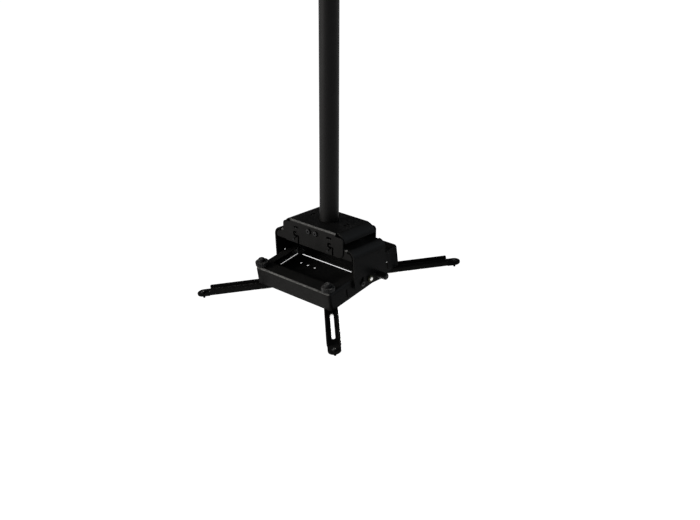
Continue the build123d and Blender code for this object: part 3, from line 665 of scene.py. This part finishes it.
class MOUNT_OT_arms(bpy.types.Operator):
    """Coat the four arms, finish their shoes and thread the tip screws"""
    bl_idname = "mount.arms"
    bl_label = "Arms"

    def execute(self, context):
        for corner in CORNERS:
            dress(("arm_" + corner,), sheet_coat(), sizes().edge)
            dress(("slide_shoe_" + corner,), bright_zinc(), sizes().fine_edge)
            self.tip_screw(corner)
        return {"FINISHED"}

    def tip_screw(self, corner):
        """A button head with a pale steel cross recess, which shows as a bright spot in the dark head, over a
        threaded shank; heights run down from the arm's foot.
        """
        node = "tip_screw_" + corner
        mount = MOUNTS[node]
        down = Vector(mount["axis"])
        reach = mount["dims"]["length_mm"] / 1000
        neck = 0.0003
        place = axis_frame(Vector(mount["pos_m"]) - down * (reach / 2 + neck), down)
        seat, top, bend, radius = -0.0020, -0.0046, 0.0014, 0.0040
        cross_long, cross_half, cross_deep = 0.002, 0.0005, 0.0014
        corner_turn = math.degrees(math.atan2(cross_half, cross_long))
        corners = {90 * side + turn for side in range(4) for turn in (corner_turn, 90 - corner_turn)}
        turns = sorted({7.5 * step for step in range(48)} | corners)
        rows = [[TIP_CORE] * len(turns), [radius] * len(turns)]
        heights = [seat, seat]
        for step in range(6):
            lean = math.pi / 2 * step / 5
            rows.append([radius - bend + bend * math.cos(lean)] * len(turns))
            heights.append(top + bend - bend * math.sin(lean))
        cross = []
        for turn in turns:
            angle = math.radians(turn)
            aside, along = sorted((abs(math.cos(angle)), abs(math.sin(angle))))
            cross.append(min(cross_long / along, cross_half / max(aside, 0.001)))
        rows += [cross, cross]
        heights += [top, top + cross_deep]
        points, faces = [], []
        for row, height in zip(rows, heights):
            for turn, out in zip(turns, row):
                angle = math.radians(turn)
                points.append(place @ Vector((out * math.cos(angle), out * math.sin(angle), height)))
        count = len(turns)
        for row in range(len(rows) - 1):
            for step in range(count):
                after = (step + 1) % count
                here = row * count
                faces.append((here + step, here + after, here + count + after, here + count + step))
        recess = range((len(rows) - 2) * count, (len(rows) - 1) * count + 1)
        faces.append(tuple((len(rows) - 1) * count + step for step in range(count)))
        turned_profile([(TIP_CORE, seat), (TIP_CORE, neck)], 32, place, points, faces)
        thread = mount["dims"]["r_mm"] / 1000
        thread_points(thread, TIP_PITCH, neck, neck + reach, sizes().turn, place, points, faces)
        mesh = built_mesh("tip_thread_" + corner, points, faces)
        # The cross recess takes the pale steel.
        for face in recess:
            mesh.polygons[face].material_index = 1
        piece = new_piece("tip_thread_" + corner, mesh, black_oxide(), body_of(node),
                          [node])
        piece.data.materials.append(pale_recess_steel())


class MOUNT_OT_stage(bpy.types.Operator):
    """Lay the pale floor, set the soft lights and place the camera"""
    bl_idname = "mount.stage"
    bl_label = "Studio"

    def execute(self, context):
        stage = context.scene.mount_stage
        context.scene.view_settings.view_transform = "Standard"
        self.lay_floor(stage.floor)
        self.light_room(context, stage.world)
        middle = Vector((0.0, 0.0, -0.47))
        self.lamp("key_light", (-1.5, -2.0, -0.1), middle, 1.6, stage.key, (1.0, 0.97, 0.93))
        self.lamp("fill_light", (1.9, 1.6, 0.9), middle, 1.2, stage.fill, (0.80, 0.90, 1.0))
        self.lamp("back_light", (-1.6, 1.75, -1.75), middle, 1.0, stage.back, (1.0, 0.99, 0.97))
        self.lamp("bend_light", (-1.3, -0.9, 1.05), middle, 0.5, stage.bend, (1.0, 0.98, 0.95))
        self.place_camera(context, stage.lens)
        return {"FINISHED"}

    def lay_floor(self, depth):
        """A wide pale floor with a low wall far away, which hides the horizon."""
        rings, sides = [(24.0, -depth), (27.0, -depth + 1.0), (28.0, 1.8)], 96
        points, faces = [], [tuple(range(sides))]
        for reach, height in rings:
            for step in range(sides):
                turn = 2 * math.pi * step / sides
                points.append((reach * math.cos(turn), reach * math.sin(turn), height))
        for row in (0, sides):
            for step in range(sides):
                after = (step + 1) % sides
                faces.append((row + step, row + after, row + sides + after, row + sides + step))
        mesh = built_mesh("studio_floor", points, faces)
        floor = bpy.data.objects.new("studio_floor", mesh)
        bpy.context.scene.collection.objects.link(floor)
        material = bpy.data.materials.new("pale_floor")
        material.use_nodes = True
        tree = material.node_tree
        skin = tree.nodes["Principled BSDF"]
        skin.inputs["Base Color"].default_value = (0.82, 0.82, 0.82, 1)
        skin.inputs["Roughness"].default_value = 0.9
        skin.inputs["Emission Color"].default_value = (1, 1, 1, 1)
        path = add_node(tree, "ShaderNodeLightPath")
        seen = add_node(tree, "ShaderNodeMath", operation="MAXIMUM")
        tree.links.new(path.outputs["Is Camera Ray"], seen.inputs[0])
        tree.links.new(path.outputs["Is Glossy Ray"], seen.inputs[1])
        through = add_node(tree, "ShaderNodeMath", operation="MAXIMUM")
        tree.links.new(seen.outputs[0], through.inputs[0])
        tree.links.new(path.outputs["Is Transmission Ray"], through.inputs[1])
        tree.links.new(through.outputs[0], skin.inputs["Emission Strength"])
        mesh.materials.append(material)

    def light_room(self, context, strength):
        world = bpy.data.worlds.new("studio_room")
        context.scene.world = world
        world.use_nodes = True
        air = world.node_tree.nodes["Background"]
        air.inputs["Color"].default_value = (0.93, 0.96, 1.0, 1)
        air.inputs["Strength"].default_value = strength

    def lamp(self, name, at, target, size, power, colour):
        light = bpy.data.lights.new(name, "AREA")
        light.shape = "DISK"
        light.size = size
        light.energy = power
        light.color = colour
        lamp = bpy.data.objects.new(name, light)
        bpy.context.scene.collection.objects.link(lamp)
        lamp.location = at
        lamp.rotation_euler = (target - Vector(at)).to_track_quat("-Z", "Y").to_euler()

    def place_camera(self, context, lens):
        """Stands the camera where the picture was taken: turn, dip and roll in degrees, place in metres."""
        turn, dip, roll = (math.radians(v) for v in (41.749, 22.959, 0.447))
        right = Vector((math.cos(turn), math.sin(turn), 0))
        ahead = Vector((-math.sin(turn) * math.cos(dip), math.cos(turn) * math.cos(dip), -math.sin(dip)))
        above = right.cross(ahead)
        side = math.cos(roll) * right + math.sin(roll) * above
        top = math.cos(roll) * above - math.sin(roll) * right
        data = bpy.data.cameras.new("view")
        data.lens = lens
        data.sensor_width = 36
        data.sensor_fit = "HORIZONTAL"
        data.clip_start = 0.01
        data.clip_end = 100
        camera = bpy.data.objects.new("view", data)
        context.scene.collection.objects.link(camera)
        place = (1.02939, -1.10107, 0.14086)
        rows = [(side[i], top[i], -ahead[i], place[i]) for i in range(3)]
        camera.matrix_world = Matrix((*rows, (0, 0, 0, 1)))
        context.scene.camera = camera


OPERATORS = (MOUNT_OT_pole, MOUNT_OT_brackets, MOUNT_OT_tray, MOUNT_OT_tilt, MOUNT_OT_knobs, MOUNT_OT_arms,
             MOUNT_OT_stage)


class MOUNT_PT_panel(bpy.types.Panel):
    """Lists the mount's pieces and values"""
    bl_idname = "MOUNT_PT_panel"
    bl_label = "Ceiling Mount"
    bl_space_type = "VIEW_3D"
    bl_region_type = "UI"
    bl_category = "Mount"

    def draw(self, context):
        for group in (context.scene.mount_finishes, context.scene.mount_sizes, context.scene.mount_stage):
            box = self.layout.box()
            for name in group.__annotations__:
                box.prop(group, name)
        for operator in OPERATORS:
            self.layout.operator(operator.bl_idname)


CLASSES = (MountFinishes, MountSizes, MountStage, *OPERATORS, MOUNT_PT_panel)


def register():
    for cls in CLASSES:
        bpy.utils.register_class(cls)
    bpy.types.Scene.mount_finishes = PointerProperty(type=MountFinishes)
    bpy.types.Scene.mount_sizes = PointerProperty(type=MountSizes)
    bpy.types.Scene.mount_stage = PointerProperty(type=MountStage)


def unregister():
    del bpy.types.Scene.mount_stage
    del bpy.types.Scene.mount_sizes
    del bpy.types.Scene.mount_finishes
    for cls in reversed(CLASSES):
        bpy.utils.unregister_class(cls)


def main():
    register()
    bpy.ops.mount.pole()
    bpy.ops.mount.brackets()
    bpy.ops.mount.tray()
    bpy.ops.mount.tilt()
    bpy.ops.mount.knobs()
    bpy.ops.mount.arms()
    bpy.ops.mount.stage()


if __name__ == "__main__":
    main()
